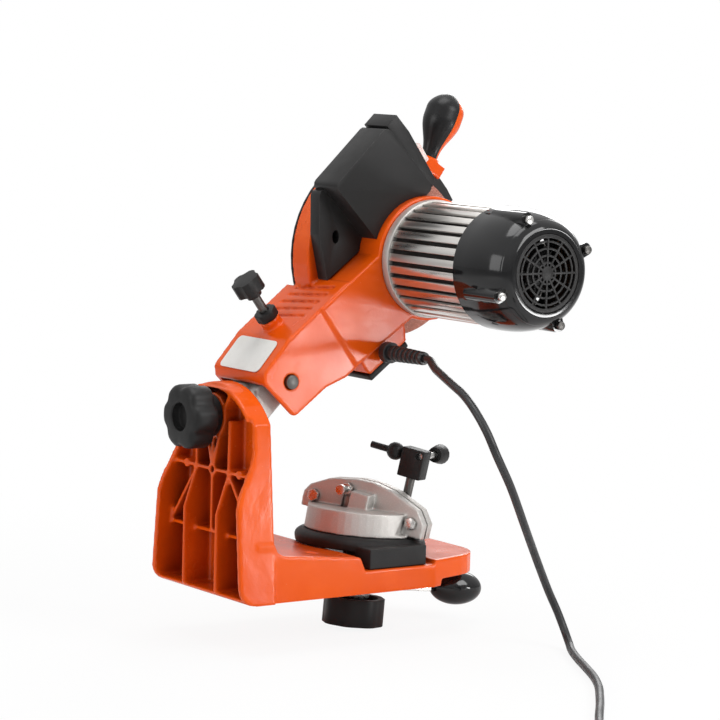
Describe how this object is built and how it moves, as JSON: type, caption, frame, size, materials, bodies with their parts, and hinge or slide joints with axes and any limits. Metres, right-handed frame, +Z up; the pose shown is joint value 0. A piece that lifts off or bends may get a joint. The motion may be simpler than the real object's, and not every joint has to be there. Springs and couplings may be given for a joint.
{
  "type": "electric chainsaw sharpener",
  "caption": "Bench mounted electric chainsaw chain grinder: tilting spring arm with finned motor, guarded grinding wheel and egg handle over a swivelling chain vise.",
  "frame": {"origin": "centre of the underside of the stand's bench rib, the face that rests on the bench", "axes": "+Z up, -Y towards the operator, +X to the operator's right; the motor lies towards -X"},
  "size_m": [0.7094, 0.3033, 0.4664],
  "materials": {
    "orange_casting": "glossy orange enamel on an aluminium casting",
    "black_casting": "satin black moulding",
    "cast_alloy": "fine cast aluminium, lightly blasted",
    "bright_fins": "polished finned aluminium extrusion",
    "steel_parts": "zinc plated steel",
    "windings": "varnished copper and laminations",
    "gloss_black": "glossy black moulding",
    "black_plastic": "fine textured black moulding",
    "cord_rubber": "smooth black sheath",
    "grinding_stone": "bonded abrasive",
    "lamp_window": "pale translucent lens",
    "bare_label": "bare pale plate",
    "plug_brass": "plated contact pins"
  },
  "bodies": {
    "stand": {"stand": "orange_casting", "vise_seat": "black_casting", "vise_stud": "steel_parts", "cord": "cord_rubber", "cord_coil": "cord_rubber", "plug_body": "cord_rubber", "plug_pin_left": "plug_brass", "plug_pin_right": "plug_brass"},
    "vise": {"vise_body": "cast_alloy", "jaw_bolt_left": "steel_parts", "jaw_bolt_right": "steel_parts", "stop_post": "steel_parts"},
    "vise_jaw": {"moving_jaw": "cast_alloy"},
    "tension_screw": {"tension_screw": "steel_parts"},
    "vise_lock_knob": {"vise_lock_knob": "black_plastic"},
    "clamp_lever": {"clamp_lever": "steel_parts", "lever_grip": "gloss_black"},
    "chain_stop": {"stop_block": "black_plastic"},
    "stop_screw": {"stop_screw": "steel_parts"},
    "stop_knob": {"stop_knob": "black_plastic"},
    "tilt_head": {"tilt_bracket": "cast_alloy", "tilt_stud": "steel_parts", "pivot_pin": "steel_parts", "arm_return_spring": "steel_parts"},
    "tilt_lock_knob": {"tilt_lock_knob": "black_plastic"},
    "arm": {"head_casting": "orange_casting", "rating_plate": "bare_label", "wheel_cover": "black_plastic", "cover_cap": "black_plastic", "lamp_lens": "lamp_window", "guard_disc": "black_plastic", "far_cover": "black_plastic", "motor_flange": "cast_alloy", "motor_barrel": "bright_fins", "motor_stator": "windings", "bearing_front": "steel_parts", "bearing_rear": "steel_parts", "motor_end_cap": "gloss_black", "cap_screw_1": "steel_parts", "cap_screw_2": "steel_parts", "cap_screw_3": "steel_parts", "cap_screw_4": "steel_parts", "fan_grille": "black_plastic", "handle_grip": "gloss_black", "handle_core": "orange_casting", "switch_plate": "black_plastic", "cord_boot": "cord_rubber"},
    "wheel_shaft": {"motor_shaft": "steel_parts", "cooling_fan": "black_plastic", "grinding_wheel": "grinding_stone", "wheel_flanges": "steel_parts", "wheel_nut": "steel_parts"},
    "switch_rocker": {"switch_rocker": "black_plastic"},
    "depth_screw": {"depth_screw": "steel_parts"},
    "depth_knob": {"depth_knob": "black_plastic"},
    "depth_lock_nut": {"depth_lock_nut": "black_plastic"}
  },
  "joints": [
    {"name": "head_tilt", "type": "hinge", "parent": "stand", "child": "tilt_head", "pos_m": [0, 0, 0.152], "axis": [0, 1, 0], "range_deg": [-35, 35]},
    {"name": "tilt_knob_turn", "type": "hinge", "parent": "tilt_head", "child": "tilt_lock_knob", "pos_m": [0, 0.06, 0.152], "axis": [0, 1, 0], "range_deg": [-180, 180]},
    {"name": "arm_pivot", "type": "hinge", "parent": "tilt_head", "child": "arm", "pos_m": [0, -0.0095, 0.1815], "axis": [1, 0, 0], "range_deg": [0, 30], "stiffness_Nm_per_rad": 9, "springref_deg": -74.48},
    {"name": "wheel_spin", "type": "hinge", "parent": "arm", "child": "wheel_shaft", "pos_m": [0, -0.15001, 0.283], "axis": [1, 0, 0], "continuous": true},
    {"name": "switch_press", "type": "hinge", "parent": "arm", "child": "switch_rocker", "pos_m": [0, -0.11508, 0.19426], "axis": [1, 0, 0], "range_deg": [-7, 7]},
    {"name": "depth_slide", "type": "slide", "parent": "arm", "child": "depth_screw", "axis": [0, 0.6018, 0.7986], "range_m": [-0.004, 0.004]},
    {"name": "depth_knob_turn", "type": "hinge", "parent": "depth_screw", "child": "depth_knob", "pos_m": [0.003, -0.0152, 0.22711], "axis": [0, 0.6018, 0.7986], "range_deg": [-965, 965]},
    {"name": "lock_nut_turn", "type": "hinge", "parent": "arm", "child": "depth_lock_nut", "pos_m": [0.003, -0.0152, 0.22711], "axis": [0, 0.6018, 0.7986], "range_deg": [-180, 180]},
    {"name": "vise_swivel", "type": "hinge", "parent": "stand", "child": "vise", "pos_m": [0, -0.11, 0.0293], "axis": [0, -0.0785, 0.9969], "range_deg": [-65, 5]},
    {"name": "jaw_slide", "type": "slide", "parent": "vise", "child": "vise_jaw", "axis": [0.5, -0.8634, -0.0679], "range_m": [0, 0.002]},
    {"name": "tension_turn", "type": "hinge", "parent": "vise", "child": "tension_screw", "pos_m": [0.00391, -0.10007, 0.07914], "axis": [-0.5, 0.8634, 0.0679], "range_deg": [-180, 180]},
    {"name": "stop_swing", "type": "hinge", "parent": "vise", "child": "chain_stop", "pos_m": [-0.01738, -0.14454, 0.0607], "axis": [-0.1205, -0.1471, 0.9818], "range_deg": [-60, 20]},
    {"name": "stop_screw_slide", "type": "slide", "parent": "chain_stop", "child": "stop_screw", "axis": [-0.5, 0.8634, 0.0679], "range_m": [-0.003, 0.003]},
    {"name": "stop_knob_turn", "type": "hinge", "parent": "stop_screw", "child": "stop_knob", "pos_m": [-0.02866, -0.15484, 0.1085], "axis": [-0.5, 0.8634, 0.0679], "range_deg": [-1085, 1085]},
    {"name": "lever_swing", "type": "hinge", "parent": "stand", "child": "clamp_lever", "pos_m": [0, -0.11, 0.0293], "axis": [0, -0.0785, 0.9969], "range_deg": [0, 40]},
    {"name": "vise_knob_turn", "type": "hinge", "parent": "stand", "child": "vise_lock_knob", "pos_m": [0, -0.11, 0.0293], "axis": [0, -0.0785, 0.9969], "range_deg": [-180, 180]}
  ],
  "couplings": [
    {"joint": "depth_knob_turn", "follows": "depth_slide", "rad_per_m": 4188.8},
    {"joint": "stop_knob_turn", "follows": "stop_screw_slide", "rad_per_m": 6283.2},
    {"joint": "jaw_slide", "follows": "lever_swing", "m_per_rad": 0.0028648}
  ]
}
